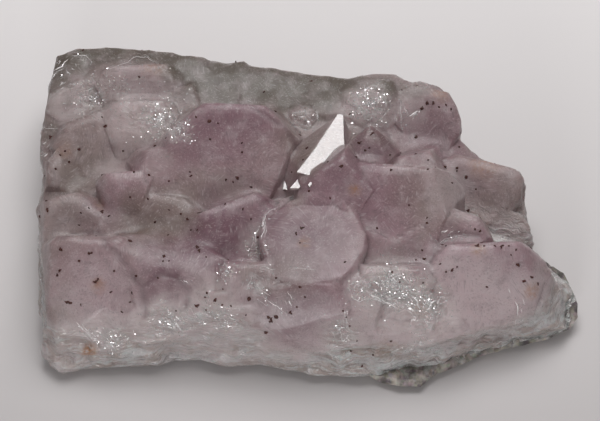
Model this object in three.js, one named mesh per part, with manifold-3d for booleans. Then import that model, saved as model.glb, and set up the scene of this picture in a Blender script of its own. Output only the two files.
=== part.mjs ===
// A palm-sized amethyst cluster: a broken piece of a geode's lining that lies on its back.
// Stubby quartz crystals stand close together on a bed of massive quartz, all grown as one solid,
// and a thin skin of the host rock is still stuck to the underside.
// Units are millimetres. +Z is up, +X runs along the long side, and the front edge faces -Y.
// The origin is under the middle of the cluster, on the surface that it rests on.
import * as THREE from "three";
import { ConvexGeometry } from "three/addons/geometries/ConvexGeometry.js";
import { mergeVertices } from "three/addons/utils/BufferGeometryUtils.js";
import Module from "manifold-3d";

const wasm = await Module();
wasm.setup();

// Driving dimensions.
const QUARTZ_FOOT = 0.9; // the quartz hangs this far above the table where no rock is under it
const BED_HEIGHT = 15.0; // massive quartz under the crystals in the middle
const SKY = 45; // any height above the tallest crystal
const ROCK_ROOF = 3.2; // top of the rock skin in the middle
const ROCK_GAP = 0.35; // between the rock and the quartz that grew on it
const FACE_SLOPE = THREE.MathUtils.degToRad(51.8); // a quartz tip's faces, from the plane across its axis
const DOME_SLOPES = [7, 16, 52].map(THREE.MathUtils.degToRad); // the rings of facets on a worn tip
const DOME_RADIUS = 1.4; // how wide a worn tip curves, as a share of the crystal's size

// The broken edge, clockwise from the back left corner seen from above.
// Each point is x, y, the height where the wall stands out furthest, and the height of its rim.
const BROKEN_EDGE = [
  [-49.3, 28.5, 15.5, 16.5],
  [-47.8, 31.3, 15.8, 16.8],
  [-43.5, 32.3, 16.2, 17.2],
  [-38.0, 32.6, 17.0, 18.0],
  [-33.0, 32.1, 17.0, 18.0],
  [-29.3, 31.8, 17.0, 18.0],
  [-25.8, 31.4, 16.6, 17.4],
  [-23.8, 30.4, 16.2, 17.0],
  [-19.5, 30.3, 16.2, 17.0],
  [-15.2, 29.1, 16.2, 17.0],
  [-11.6, 29.7, 16.6, 17.4],
  [-10.8, 28.7, 16.2, 17.0],
  [-3.5, 27.6, 16.2, 17.0],
  [2.5, 26.6, 16.2, 17.0],
  [8.0, 26.0, 16.2, 17.0],
  [13.0, 26.5, 16.6, 17.5],
  [16.8, 26.5, 16.6, 17.4],
  [20.2, 24.9, 15.8, 16.6],
  [21.8, 25.4, 15.6, 16.4],
  [25.2, 24.6, 15.0, 16.2],
  [27.2, 22.4, 14.5, 15.6],
  [28.8, 19.5, 14.0, 15.2],
  [29.6, 17.0, 13.6, 14.8],
  [29.2, 14.0, 13.0, 14.0],
  [32.4, 10.6, 12.5, 13.5],
  [36.0, 8.6, 12.2, 13.2],
  [40.4, 6.0, 11.6, 12.8],
  [41.1, 4.8, 11.2, 12.2],
  [40.5, 2.5, 10.2, 11.4],
  [41.3, -2.0, 9.0, 10.4],
  [42.6, -4.6, 8.0, 9.4],
  [41.0, -7.0, 6.8, 8.2],
  [45.2, -9.2, 5.8, 7.4],
  [48.0, -12.0, 5.2, 6.8],
  [49.9, -15.4, 4.8, 6.2],
  [50.0, -18.0, 4.0, 5.6],
  [48.2, -20.4, 3.4, 5.6],
  [43.2, -22.0, 3.4, 6.2],
  [37.6, -23.2, 3.4, 6.8],
  [32.2, -24.9, 3.4, 7.6],
  [27.4, -26.8, 3.4, 8.4],
  [23.2, -28.0, 3.6, 9.0],
  [18.6, -28.6, 3.6, 9.6],
  [14.0, -29.6, 3.0, 9.8],
  [8.5, -29.8, 2.4, 9.8],
  [2.0, -29.2, 2.2, 9.6],
  [-4.0, -28.5, 2.2, 9.4],
  [-8.5, -27.5, 2.4, 9.4],
  [-15.0, -27.4, 2.4, 9.6],
  [-20.0, -26.5, 3.0, 9.6],
  [-24.5, -26.5, 3.0, 9.0],
  [-27.0, -27.5, 2.2, 8.2],
  [-34.0, -27.6, 2.0, 7.6],
  [-41.0, -28.0, 2.0, 6.8],
  [-45.0, -29.0, 2.0, 6.4],
  [-47.2, -27.6, 2.6, 6.6],
  [-48.6, -25.5, 3.6, 7.4],
  [-48.2, -22.0, 5.0, 8.6],
  [-49.0, -15.0, 6.5, 10.2],
  [-49.6, -8.0, 8.0, 11.6],
  [-50.0, 0.0, 9.5, 12.8],
  [-49.3, 4.5, 10.5, 13.4],
  [-49.4, 8.0, 11.0, 13.8],
  [-50.2, 10.5, 11.5, 14.2],
  [-50.2, 15.0, 12.5, 14.8],
  [-49.8, 22.0, 14.0, 15.6],
];

// The host rock's edge, clockwise from the back left corner: x, y, and the height of the edge.
const ROCK_EDGE = [
  [-43.0, 26.0, 2.0],
  [-30.0, 27.5, 2.2],
  [-15.0, 25.0, 2.2],
  [0.0, 23.5, 2.0],
  [12.0, 22.5, 2.2],
  [21.0, 20.5, 2.2],
  [25.0, 12.5, 2.0],
  [29.0, 6.5, 2.2],
  [36.0, 2.5, 2.6],
  [38.5, -3.5, 3.6],
  [41.8, -6.4, 5.2],
  [44.6, -8.0, 5.0],
  [47.4, -9.6, 4.6],
  [48.8, -12.4, 4.2],
  [49.8, -15.6, 3.8],
  [49.7, -17.8, 3.0],
  [48.0, -19.9, 2.0],
  [43.6, -21.7, 1.4],
  [40.0, -22.8, 1.6],
  [35.4, -23.8, 1.4],
  [31.4, -25.4, 1.6],
  [27.0, -27.4, 1.6],
  [23.8, -28.6, 1.8],
  [20.6, -31.2, 1.6],
  [17.0, -31.3, 1.8],
  [13.6, -30.2, 1.4],
  [9.0, -27.6, 1.4],
  [0.0, -25.0, 1.6],
  [-12.0, -23.5, 1.6],
  [-24.0, -22.5, 1.8],
  [-36.0, -23.0, 1.6],
  [-44.0, -21.5, 1.8],
  [-45.5, -10.0, 2.0],
  [-46.0, 4.0, 2.0],
  [-45.5, 17.0, 2.0],
];

// The crystals, from the back edge to the front. tip is the point, size the distance from the axis to a
// side face, lean the tilt of the axis from upright, toward the compass direction that it tilts to (0 is +X
// and 90 is +Y), and turn the twist on the axis. At turn 180 a broad face looks back past the lean.
// A chisel tip ends in a crest, a blocky one has three broad faces, a pointed one six, and a domed one has
// worn edges. cut is a further face through at, which stands at slope from level and looks toward.
const CRYSTALS = [
  { tip: [-31.5, 26.5, 20.5], size: 7.6, lean: 24, toward: 96, turn: 176, habit: "chisel" },
  { tip: [-45.0, 23.0, 18.5], size: 5.4, lean: 20, toward: 120, turn: 174, habit: "chisel" },
  { tip: [-40.5, 25.0, 19.0], size: 4.8, lean: 16, toward: 80, turn: 190, habit: "pointed" },
  { tip: [-21.5, 22.5, 19.5], size: 6.2, lean: 24, toward: 60, turn: 180, habit: "blocky" },
  { tip: [-31.0, 18.0, 21.5], size: 7.0, lean: 18, toward: 84, turn: 186, habit: "chisel" },
  { tip: [-40.5, 16.0, 19.5], size: 7.6, lean: 22, toward: 112, turn: 178, habit: "chisel" },
  { tip: [-13.0, 15.0, 25.0], size: 12.4, lean: 20, toward: 84, turn: 184, habit: "chisel" },
  { tip: [-19.5, 14.5, 21.5], size: 6.8, lean: 18, toward: 110, turn: 176, habit: "blocky" },
  { tip: [-2.0, 17.0, 19.5], size: 3.4, lean: 14, toward: 200, turn: 150, habit: "pointed" },
  { tip: [1.0, 17.5, 19.5], size: 3.0, lean: 18, toward: 20, turn: 170, habit: "pointed" },
  { tip: [6.5, 15.0, 21.5], size: 8.6, lean: 50, toward: 77, turn: 180, habit: "pointed",
    cut: { at: [6.9, 12.0, 21.0], slope: 74, toward: 2 } },
  { tip: [11.0, 21.5, 20.5], size: 5.2, lean: 22, toward: 120, turn: 180, habit: "chisel" },
  { tip: [14.5, 20.5, 20.0], size: 4.6, lean: 16, toward: 40, turn: 170, habit: "pointed" },
  { tip: [11.8, 11.5, 23.2], size: 4.8, lean: 26, toward: 90, turn: 180, habit: "pointed" },
  { tip: [23.0, 22.0, 19.5], size: 8.0, lean: 24, toward: 76, turn: 182, habit: "chisel" },
  { tip: [18.5, 20.5, 19.0], size: 5.0, lean: 20, toward: 120, turn: 176, habit: "blocky" },
  { tip: [-46.0, 10.0, 17.0], size: 6.2, lean: 26, toward: 140, turn: 184, habit: "chisel" },
  { tip: [-33.0, 3.6, 20.0], size: 4.6, lean: 20, toward: 95, turn: 178, habit: "chisel" },
  { tip: [-35.5, -3.0, 17.0], size: 5.2, lean: 16, toward: 100, turn: 182, habit: "blocky" },
  { tip: [-24.5, 8.0, 20.5], size: 7.4, lean: 20, toward: 80, turn: 186, habit: "chisel" },
  { tip: [6.5, 3.5, 25.0], size: 7.0, lean: 8, toward: 90, turn: 49, habit: "blocky" },
  { tip: [17.0, 3.5, 22.5], size: 10.0, lean: 24, toward: 88, turn: 178, habit: "chisel" },
  { tip: [22.5, 8.0, 20.0], size: 7.0, lean: 18, toward: 50, turn: 190, habit: "blocky" },
  { tip: [33.0, 8.0, 16.5], size: 8.6, lean: 24, toward: 76, turn: 176, habit: "chisel" },
  { tip: [-46.0, -0.5, 17.5], size: 7.2, lean: 24, toward: 110, turn: 178, habit: "chisel" },
  { tip: [-39.5, -2.0, 17.0], size: 4.2, lean: 10, toward: 90, turn: 180, habit: "blocky" },
  { tip: [-26.0, 0.0, 17.0], size: 8.4, lean: 30, toward: 90, turn: 172, habit: "chisel" },
  { tip: [-14.5, -3.0, 20.0], size: 8.0, lean: 20, toward: 110, turn: 184, habit: "chisel" },
  { tip: [1.2, -11.6, 21.6], size: 9.8, lean: 7, toward: 268, turn: 14, habit: "domed" },
  { tip: [31.0, -10.5, 18.5], size: 11.2, lean: 20, toward: 96, turn: 177, habit: "chisel" },
  { tip: [40.0, -11.0, 13.5], size: 8.0, lean: 24, toward: 60, turn: 182, habit: "chisel" },
  { tip: [-38.5, -10.0, 20.5], size: 10.4, lean: 20, toward: 88, turn: 182, habit: "chisel" },
  { tip: [-28.0, -8.6, 18.6], size: 6.4, lean: 20, toward: 86, turn: 182, habit: "chisel" },
  { tip: [-25.0, -17.0, 18.0], size: 6.4, lean: 14, toward: 90, turn: 180, habit: "chisel" },
  { tip: [-16.5, -12.5, 18.5], size: 6.4, lean: 20, toward: 60, turn: 174, habit: "chisel" },
  { tip: [-10.3, -15.0, 20.0], size: 4.8, lean: 20, toward: 84, turn: 183, habit: "chisel" },
  { tip: [0.0, -19.6, 20.4], size: 8.2, lean: 20, toward: 94, turn: 180, habit: "chisel" },
  { tip: [9.0, -17.4, 19.6], size: 6.0, lean: 20, toward: 84, turn: 184, habit: "blocky" },
  { tip: [20.5, -6.5, 18.0], size: 6.6, lean: 28, toward: 84, turn: 176, habit: "blocky" },
  { tip: [11.0, -7.5, 18.2], size: 5.6, lean: 26, toward: 100, turn: 184, habit: "blocky" },
  { tip: [14.5, -15.5, 19.0], size: 7.6, lean: 14, toward: 90, turn: 180, habit: "chisel" },
  { tip: [21.0, -18.5, 17.0], size: 6.2, lean: 18, toward: 70, turn: 182, habit: "pointed" },
  { tip: [2.5, -23.0, 16.5], size: 6.8, lean: 16, toward: 76, turn: 180, habit: "chisel" },
  { tip: [-22.5, -22.5, 14.0], size: 6.2, lean: 10, toward: 100, turn: 176, habit: "chisel" },
  { tip: [-13.5, -22.5, 14.5], size: 6.4, lean: 14, toward: 86, turn: 180, habit: "chisel" },
  { tip: [-37.0, -23.5, 12.5], size: 7.4, lean: 8, toward: 90, turn: 180, habit: "domed" },
  { tip: [-44.5, -18.0, 14.5], size: 5.8, lean: 16, toward: 140, turn: 184, habit: "chisel" },
  { tip: [23.5, -23.0, 13.0], size: 6.2, lean: 12, toward: 90, turn: 178, habit: "chisel" },
  { tip: [10.5, -22.5, 14.5], size: 5.6, lean: 14, toward: 110, turn: 180, habit: "pointed" },
  { tip: [16.5, -24.0, 13.5], size: 5.4, lean: 10, toward: 80, turn: 184, habit: "chisel" },
  { tip: [26.5, -3.0, 18.0], size: 7.4, lean: 24, toward: 70, turn: 180, habit: "chisel" },
  { tip: [38.5, -1.0, 13.0], size: 6.4, lean: 22, toward: 70, turn: 186, habit: "chisel" },
  { tip: [-30.5, -21.0, 14.0], size: 4.8, lean: 10, toward: 95, turn: 182, habit: "blocky" },
  { tip: [-18.0, -20.6, 14.4], size: 4.2, lean: 12, toward: 90, turn: 178, habit: "chisel" },
  { tip: [-9.2, -18.2, 18.8], size: 5.8, lean: 22, toward: 88, turn: 182, habit: "chisel" },
  { tip: [8.2, -23.0, 15.4], size: 4.8, lean: 12, toward: 96, turn: 180, habit: "blocky" },
  { tip: [-15.5, -20.0, 17.2], size: 5.4, lean: 18, toward: 92, turn: 180, habit: "chisel" },
  { tip: [-29.2, -15.4, 17.0], size: 4.0, lean: 14, toward: 92, turn: 178, habit: "blocky" },
];

// Broken ledges of massive quartz with no crystals on them: along the back edge, then along the front.
// at is a point on the flat top, which slopes down by slope toward the compass direction toward.
const LEDGES = [
  { at: [-46.0, 28.0, 17.0], size: 6.5, slope: 8, toward: 200 },
  { at: [-41.0, 29.0, 17.6], size: 6.0, slope: 12, toward: 280 },
  { at: [-36.0, 30.0, 18.2], size: 6.5, slope: 7, toward: 90 },
  { at: [-26.5, 28.5, 17.8], size: 7.0, slope: 10, toward: 310 },
  { at: [-22.8, 26.0, 17.6], size: 6.5, slope: 14, toward: 270 },
  { at: [-17.0, 24.5, 17.4], size: 7.5, slope: 6, toward: 230 },
  { at: [-11.5, 24.0, 17.4], size: 7.0, slope: 11, toward: 290 },
  { at: [-6.0, 22.5, 17.2], size: 8.0, slope: 5, toward: 40 },
  { at: [-0.5, 22.0, 17.2], size: 7.5, slope: 9, toward: 260 },
  { at: [5.0, 22.0, 17.4], size: 7.5, slope: 7, toward: 110 },
  { at: [14.5, 24.5, 17.6], size: 6.5, slope: 12, toward: 60 },
  { at: [19.0, 22.0, 17.2], size: 6.5, slope: 10, toward: 300 },
  { at: [26.0, 20.0, 15.8], size: 6.0, slope: 16, toward: 20 },
  { at: [-41.5, -28.5, 8.4], size: 6.5, slope: 16, toward: 220 },
  { at: [-31.5, -28.5, 8.6], size: 7.0, slope: 20, toward: 280 },
  { at: [-22.5, -26.5, 9.8], size: 6.5, slope: 14, toward: 250 },
  { at: [-14.5, -27.0, 9.8], size: 6.5, slope: 22, toward: 290 },
  { at: [-5.5, -28.5, 9.8], size: 7.0, slope: 15, toward: 260 },
  { at: [3.0, -29.5, 9.8], size: 7.0, slope: 24, toward: 275 },
  { at: [12.0, -30.5, 10.0], size: 7.0, slope: 18, toward: 240 },
  { at: [21.0, -29.0, 9.6], size: 7.0, slope: 20, toward: 300 },
  { at: [30.0, -24.5, 8.8], size: 7.0, slope: 16, toward: 290 },
  { at: [38.5, -21.0, 7.8], size: 6.5, slope: 14, toward: 330 },
  { at: [44.5, -16.5, 7.0], size: 5.5, slope: 18, toward: 350 },
];

// Where the edge has split off flat. at is a point on the split, which runs right across the piece,
// stands at slope from level and faces the compass direction toward.
const SPLITS = [
  { at: [-46.5, -26.0, 5.0], slope: 60, toward: 228 },
  { at: [-36.0, -27.0, 7.6], slope: 54, toward: 258 },
  { at: [-20.0, -26.2, 10.2], slope: 48, toward: 263 },
  { at: [-8.0, -28.2, 7.2], slope: 66, toward: 271 },
  { at: [12.0, -29.4, 9.6], slope: 60, toward: 274 },
  { at: [33.0, -24.6, 8.0], slope: 62, toward: 291 },
  { at: [47.2, -16.6, 6.6], slope: 54, toward: 330 },
  { at: [-48.6, -21.0, 6.4], slope: 70, toward: 192 },
  { at: [-49.2, -4.0, 10.4], slope: 74, toward: 186 },
  { at: [-49.4, 18.0, 13.6], slope: 76, toward: 174 },
];

// A repeatable stream of numbers from 0 to 1, for the unevenness of grown and broken faces.
function seeded(seed) {
  let state = seed >>> 0;
  return () => {
    state = (state + 0x6d2b79f5) >>> 0;
    let mixed = Math.imul(state ^ (state >>> 15), 1 | state);
    mixed = (mixed + Math.imul(mixed ^ (mixed >>> 7), 61 | mixed)) ^ mixed;
    return ((mixed ^ (mixed >>> 14)) >>> 0) / 4294967296;
  };
}

// A closed geometry as a solid that can be joined and cut.
function solidOf(geometry) {
  const bare = geometry.clone();
  for (const name of Object.keys(bare.attributes)) {
    if (name !== "position") bare.deleteAttribute(name);
  }
  const merged = mergeVertices(bare, 1e-3);
  return new wasm.Manifold(
    new wasm.Mesh({
      numProp: 3,
      vertProperties: merged.getAttribute("position").array,
      triVerts: new Uint32Array(merged.index.array),
    }),
  );
}

// A solid back as a geometry with flat faces.
function geometryOf(solid) {
  const { numProp, vertProperties, triVerts } = solid.getMesh();
  const corners = new Float32Array(triVerts.length * 3);
  triVerts.forEach((vertex, i) => {
    corners.set(vertProperties.subarray(vertex * numProp, vertex * numProp + 3), i * 3);
  });
  const geometry = new THREE.BufferGeometry();
  geometry.setAttribute("position", new THREE.BufferAttribute(corners, 3));
  geometry.computeVertexNormals();
  return geometry;
}

// The convex solid that lies behind every plane: each plane is a normal and its reach from the origin.
function convexBehind(planes) {
  const corners = [];
  const tolerance = 1e-5;
  for (let i = 0; i < planes.length; i++) {
    for (let j = i + 1; j < planes.length; j++) {
      for (let k = j + 1; k < planes.length; k++) {
        const [a, b, c] = [planes[i], planes[j], planes[k]];
        const bc = new THREE.Vector3().crossVectors(b.normal, c.normal);
        const spread = a.normal.dot(bc);
        if (Math.abs(spread) < 1e-4) continue;
        const corner = bc.multiplyScalar(a.reach);
        corner.addScaledVector(new THREE.Vector3().crossVectors(c.normal, a.normal), b.reach);
        corner.addScaledVector(new THREE.Vector3().crossVectors(a.normal, b.normal), c.reach);
        corner.divideScalar(spread);
        const inside = planes.every((p) => p.normal.dot(corner) <= p.reach + tolerance);
        const known = corners.some((other) => other.distanceTo(corner) < 1e-3);
        if (inside && !known) corners.push(corner);
      }
    }
  }
  return solidOf(new ConvexGeometry(corners));
}

// The direction of an axis that tilts from upright toward a compass direction, and its own side direction.
function tilted(lean, toward) {
  const heading = THREE.MathUtils.degToRad(toward);
  const across = new THREE.Vector3(-Math.sin(heading), Math.cos(heading), 0);
  const tilt = THREE.MathUtils.degToRad(lean);
  return {
    axis: new THREE.Vector3(0, 0, 1).applyAxisAngle(across, tilt),
    side: new THREE.Vector3(Math.cos(heading), Math.sin(heading), 0).applyAxisAngle(across, tilt),
  };
}

// A direction part of the way from an axis out to a side.
const between = (axis, outward, angle) =>
  axis.clone().multiplyScalar(Math.cos(angle)).addScaledVector(outward, Math.sin(angle));

// A six-sided crystal, long enough to reach down into the bed.
function crystal({ tip, size, lean, toward, turn, habit, cut }, random) {
  const { axis, side } = tilted(lean, toward);
  const point = new THREE.Vector3(...tip);
  const planes = [];
  const addPlane = (normal, beyondTip) => planes.push({ normal, reach: normal.dot(point) + beyondTip });
  const outwardAt = (degrees) => side.clone().applyAxisAngle(axis, THREE.MathUtils.degToRad(degrees));
  // How far beyond the tip each sloping face passes, as a share of the size, counted from the turned one.
  const setBack = {
    chisel: [0, 0.45, 0.4, 0, 0.4, 0.45],
    blocky: [0, 0.42, 0, 0.42, 0, 0.42],
    pointed: [0, 0.04, 0, 0.04, 0, 0.04],
  }[habit];
  if (habit === "domed") {
    for (let face = 0; face < 12; face++) {
      addPlane(outwardAt(turn + 30 * face), size * (0.94 + 0.12 * random()));
      DOME_SLOPES.forEach((slope, ring) => {
        const outward = outwardAt(turn + 30 * face + 15 * ring);
        addPlane(between(axis, outward, slope), size * DOME_RADIUS * (1 - Math.cos(slope)));
      });
    }
  } else {
    for (let face = 0; face < 6; face++) {
      const outward = outwardAt(turn + 60 * face);
      const unevenness = 0.7 + 0.6 * random();
      addPlane(outward, size * (0.92 + 0.16 * random()));
      addPlane(between(axis, outward, FACE_SLOPE), size * setBack[face] * unevenness);
    }
  }
  addPlane(axis.clone().negate(), tip[2] - 4);
  if (cut) {
    const normal = tilted(cut.slope, cut.toward).axis;
    planes.push({ normal, reach: normal.dot(new THREE.Vector3(...cut.at)) });
  }
  return convexBehind(planes);
}

// A broken block of massive quartz with a flat sloping top.
function ledge({ at, size, slope, toward }, random) {
  const { axis } = tilted(slope, toward);
  const point = new THREE.Vector3(...at);
  const planes = [{ normal: axis, reach: axis.dot(point) }];
  const start = 360 * random();
  for (let face = 0; face < 5; face++) {
    const outward = tilted(90, start + 72 * face).axis;
    const bevel = between(new THREE.Vector3(0, 0, 1), outward, THREE.MathUtils.degToRad(50));
    planes.push({ normal: outward, reach: outward.dot(point) + size * (0.85 + 0.3 * random()) });
    planes.push({ normal: bevel, reach: bevel.dot(point) + size * 0.55 });
  }
  planes.push({ normal: new THREE.Vector3(0, 0, -1), reach: -3 });
  return convexBehind(planes);
}

// What is left of a solid behind a split.
function splitOff(solid, { at, slope, toward }) {
  const inward = tilted(slope, toward).axis.negate();
  return solid.trimByPlane(inward.toArray(), inward.dot(new THREE.Vector3(...at)));
}

// A closed shell through rings of points that run clockwise, from the lowest ring to the highest.
function shell(rings) {
  const count = rings[0].length;
  const corners = rings.flat();
  const middle = (ring) => ring.reduce((sum, p) => sum.add(p), new THREE.Vector3()).divideScalar(count);
  corners.push(middle(rings[0]), middle(rings.at(-1)));
  const [floor, roof] = [corners.length - 2, corners.length - 1];
  const faces = [];
  for (let i = 0; i < count; i++) {
    const next = (i + 1) % count;
    faces.push(floor, i, next);
    for (let level = 0; level < rings.length - 1; level++) {
      const [low, high] = [level * count, (level + 1) * count];
      faces.push(low + i, high + i, high + next, low + i, high + next, low + next);
    }
    const top = (rings.length - 1) * count;
    faces.push(roof, top + next, top + i);
  }
  const geometry = new THREE.BufferGeometry().setFromPoints(corners);
  geometry.setIndex(faces);
  return solidOf(geometry);
}

// The broken wall's rings, from the foot to the rim, roughened between the two.
function wallRings(random) {
  const inset = (x, y, z, by) => {
    const share = 1 - by / Math.hypot(x, y);
    return new THREE.Vector3(x * share, y * share, z);
  };
  const rough = (point, by) => {
    const share = 1 + ((random() - 0.5) * by) / Math.hypot(point.x, point.y);
    return new THREE.Vector3(point.x * share, point.y * share, point.z + (random() - 0.5) * by);
  };
  const level = (pick) => BROKEN_EDGE.map(([x, y, widest, rim]) => pick(x, y, widest, rim));
  return [
    level((x, y, widest) => inset(x, y, QUARTZ_FOOT, 0.8 + 0.15 * widest)),
    level((x, y, widest) => rough(inset(x, y, 0.5 * (QUARTZ_FOOT + widest), 0.3 + 0.05 * widest), 0.7)),
    level((x, y, widest) => inset(x, y, widest, 0)),
    level((x, y, widest, rim) => rough(inset(x, y, 0.5 * (widest + rim), 0.12 * (rim - widest)), 0.5)),
    level((x, y, widest, rim) => inset(x, y, rim, 0.4 + 0.25 * (rim - widest))),
  ];
}

// The crystals and the massive quartz they grew from, trimmed by the broken edge.
function quartz() {
  const random = seeded(7);
  const wall = wallRings(random);
  const rim = wall.at(-1);
  const inward = (share, height, roughness) =>
    rim.map((p) => {
      const z = THREE.MathUtils.lerp(height, p.z, share) + (random() - 0.5) * roughness;
      return new THREE.Vector3(p.x * share, p.y * share, z);
    });
  const bed = shell([...wall, inward(0.8, BED_HEIGHT, 0.6), inward(0.4, BED_HEIGHT, 0.6)]);
  const limit = shell([...wall, rim.map((p) => new THREE.Vector3(p.x * 0.9, p.y * 0.9, SKY))]);
  const grown = CRYSTALS.map((spec) => crystal(spec, random));
  const broken = LEDGES.map((spec) => ledge(spec, random));
  const whole = wasm.Manifold.union([bed, ...grown, ...broken]).intersect(limit);
  return SPLITS.reduce(splitOff, whole);
}

// The rock skin under the quartz, flat where it rests. Grown by a little, it cuts the quartz above it,
// and its straight side then leaves no quartz below it.
function rock(grow) {
  const random = seeded(21);
  const ring = (share, height) =>
    ROCK_EDGE.map(([x, y, z]) => {
      const out = share + (grow + 0.3 * (random() - 0.5)) / Math.hypot(x, y);
      return new THREE.Vector3(x * out, y * out, height(z));
    });
  const undercut = grow ? [1, 1] : [0.9, 0.985];
  return shell([
    ring(undercut[0], () => -grow),
    ring(undercut[1], (z) => 0.45 * z - grow),
    ring(1, (z) => z),
    ring(0.97, (z) => z + 0.9 + grow),
    ring(0.85, (z) => 0.5 * (z + 0.9 + ROCK_ROOF) + grow),
    ring(0.5, () => ROCK_ROOF + grow),
  ]);
}

const finish = (color, roughness) => new THREE.MeshStandardMaterial({ color, roughness, metalness: 0 });

function named(name, solid, material) {
  const mesh = new THREE.Mesh(geometryOf(solid), material);
  mesh.name = name;
  return mesh;
}

const cluster = new THREE.Group();
cluster.add(
  named("amethyst_crystals", quartz().subtract(rock(ROCK_GAP)), finish(0x9a8690, 0.25)),
  named("host_rock", rock(0), finish(0x6e6663, 0.9)),
);

// The origin goes under the middle of the whole piece, where it rests.
const extent = new THREE.Box3().setFromObject(cluster);
const middle = extent.getCenter(new THREE.Vector3());
cluster.position.set(-middle.x, -middle.y, -extent.min.z);

export default cluster;
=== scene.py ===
import math
import random

import bmesh
import bpy
import numpy
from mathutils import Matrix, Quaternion, Vector, noise
from mathutils.bvhtree import BVHTree
from mathutils.kdtree import KDTree


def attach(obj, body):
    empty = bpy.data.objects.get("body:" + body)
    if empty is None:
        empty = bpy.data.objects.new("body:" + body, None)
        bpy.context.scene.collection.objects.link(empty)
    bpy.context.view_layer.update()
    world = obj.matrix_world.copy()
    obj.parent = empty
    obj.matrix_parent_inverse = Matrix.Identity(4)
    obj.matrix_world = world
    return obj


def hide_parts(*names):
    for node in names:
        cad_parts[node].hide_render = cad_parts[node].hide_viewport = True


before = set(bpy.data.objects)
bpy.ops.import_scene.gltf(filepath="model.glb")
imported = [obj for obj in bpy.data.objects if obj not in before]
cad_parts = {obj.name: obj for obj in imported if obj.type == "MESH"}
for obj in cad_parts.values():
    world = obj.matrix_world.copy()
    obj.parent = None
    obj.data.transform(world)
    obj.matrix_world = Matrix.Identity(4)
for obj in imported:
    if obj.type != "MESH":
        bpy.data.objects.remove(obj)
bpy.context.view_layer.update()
scene = bpy.context.scene
mm = 0.001
quartzIor = 1.544
noise.seed_set(3)  # noise_vector takes its offsets from the clock without this
print("frame loaded")


def linearColour(hexCode):
    # sRGB hex to the linear colour that a shader wants
    channels = [int(hexCode[i:i + 2], 16) / 255 for i in (1, 3, 5)]
    return [c / 12.92 if c <= 0.04045 else ((c + 0.055) / 1.055) ** 2.4 for c in channels] + [1]


def addNode(tree, kind, settings=None, inputs=None, links=None):
    # one node: settings are its own options, inputs are values of its sockets, links are what feeds a socket
    node = tree.nodes.new("ShaderNode" + kind)
    for name, value in (settings or {}).items():
        setattr(node, name, value)
    for name, value in (inputs or {}).items():
        node.inputs[name].default_value = value
    for name, socket in (links or {}).items():
        tree.links.new(socket, node.inputs[name])
    return node


def newMaterial(name):
    material = bpy.data.materials.new(name)
    material.use_nodes = True
    material.node_tree.nodes.clear()
    return material, material.node_tree


def finishMaterial(tree, inputs, links=None, inside=None):
    # the one shader of the surface, and what light meets inside
    surface = addNode(tree, "BsdfPrincipled", inputs=inputs, links=links)
    output = addNode(tree, "OutputMaterial", links={"Surface": surface.outputs[0]})
    if inside:
        tree.links.new(inside, output.inputs["Volume"])


def noiseAt(tree, place, scale, detail=2, rough=0.5):
    inputs = {"Scale": scale, "Detail": detail, "Roughness": rough}
    return addNode(tree, "TexNoise", inputs=inputs, links={"Vector": place}).outputs["Fac"]


def ranged(tree, value, low, high, toLow=0, toHigh=1):
    # the stretch from low to high, spread over the new range
    inputs = {"From Min": low, "From Max": high, "To Min": toLow, "To Max": toHigh}
    return addNode(tree, "MapRange", inputs=inputs, links={"Value": value}).outputs[0]


def mixed(tree, under, over, amount, blend="MIX"):
    # two colours, each a hex code or a socket, and how much of the upper one there is
    mix = addNode(tree, "Mix", {"data_type": "RGBA", "blend_type": blend})
    for socket, value in ((mix.inputs[6], under), (mix.inputs[7], over), (mix.inputs[0], amount)):
        if isinstance(value, str):
            socket.default_value = linearColour(value)
        elif isinstance(value, float):
            socket.default_value = value
        else:
            tree.links.new(value, socket)
    return mix.outputs[2]


def selectOnly(piece):
    bpy.ops.object.select_all(action="DESELECT")
    piece.select_set(True)
    bpy.context.view_layer.objects.active = piece


def applyModifier(piece, kind, **settings):
    selectOnly(piece)
    modifier = piece.modifiers.new(kind.title(), kind)
    for name, value in settings.items():
        setattr(modifier, name, value)
    bpy.ops.object.modifier_apply(modifier=modifier.name)


def smooth(piece, rounds, shares=None):
    # shares says how much of the smoothing each point takes
    limits = {}
    if shares is not None:
        worn = piece.vertex_groups.new(name="worn")
        for i, share in enumerate(shares):
            if share > 0.02:
                worn.add([i], share, "REPLACE")
        limits["vertex_group"] = "worn"
    applyModifier(piece, "SMOOTH", factor=0.5, iterations=rounds, **limits)
    piece.vertex_groups.clear()


def shadeSmooth(piece, degrees):
    # edges sharper than this stay hard
    selectOnly(piece)
    bpy.ops.object.shade_smooth_by_angle(angle=math.radians(degrees))


# The camera looks down on the cluster from the front, as the photo does.
photoView = {
    "width": 600,
    "height": 421,
    "elevation": 60,  # degrees above the table
    "distance": 400 * mm,
    "aim": Vector((-0.96, -0.64, 11.2)) * mm,
    "widthSeen": 110.5 * mm,  # across the picture, at the aim point
    "sensor": 36,
    "near": 0.01,
}
pixelsPerMm = photoView["width"] * mm / photoView["widthSeen"]
focal = photoView["width"] * photoView["distance"] / photoView["widthSeen"]  # in pixels


def makeCamera():
    camera = bpy.data.objects.new("camera", bpy.data.cameras.new("camera"))
    scene.collection.objects.link(camera)
    tilt = math.radians(photoView["elevation"])
    towards = Vector((0, math.cos(tilt), -math.sin(tilt)))
    camera.location = photoView["aim"] - towards * photoView["distance"]
    camera.rotation_euler = (math.pi / 2 - tilt, 0, 0)
    camera.data.sensor_width = photoView["sensor"]
    camera.data.lens = photoView["sensor"] * photoView["distance"] / photoView["widthSeen"]
    camera.data.clip_start = photoView["near"]
    scene.camera = camera
    return camera


camera = makeCamera()
print("camera placed")


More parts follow.
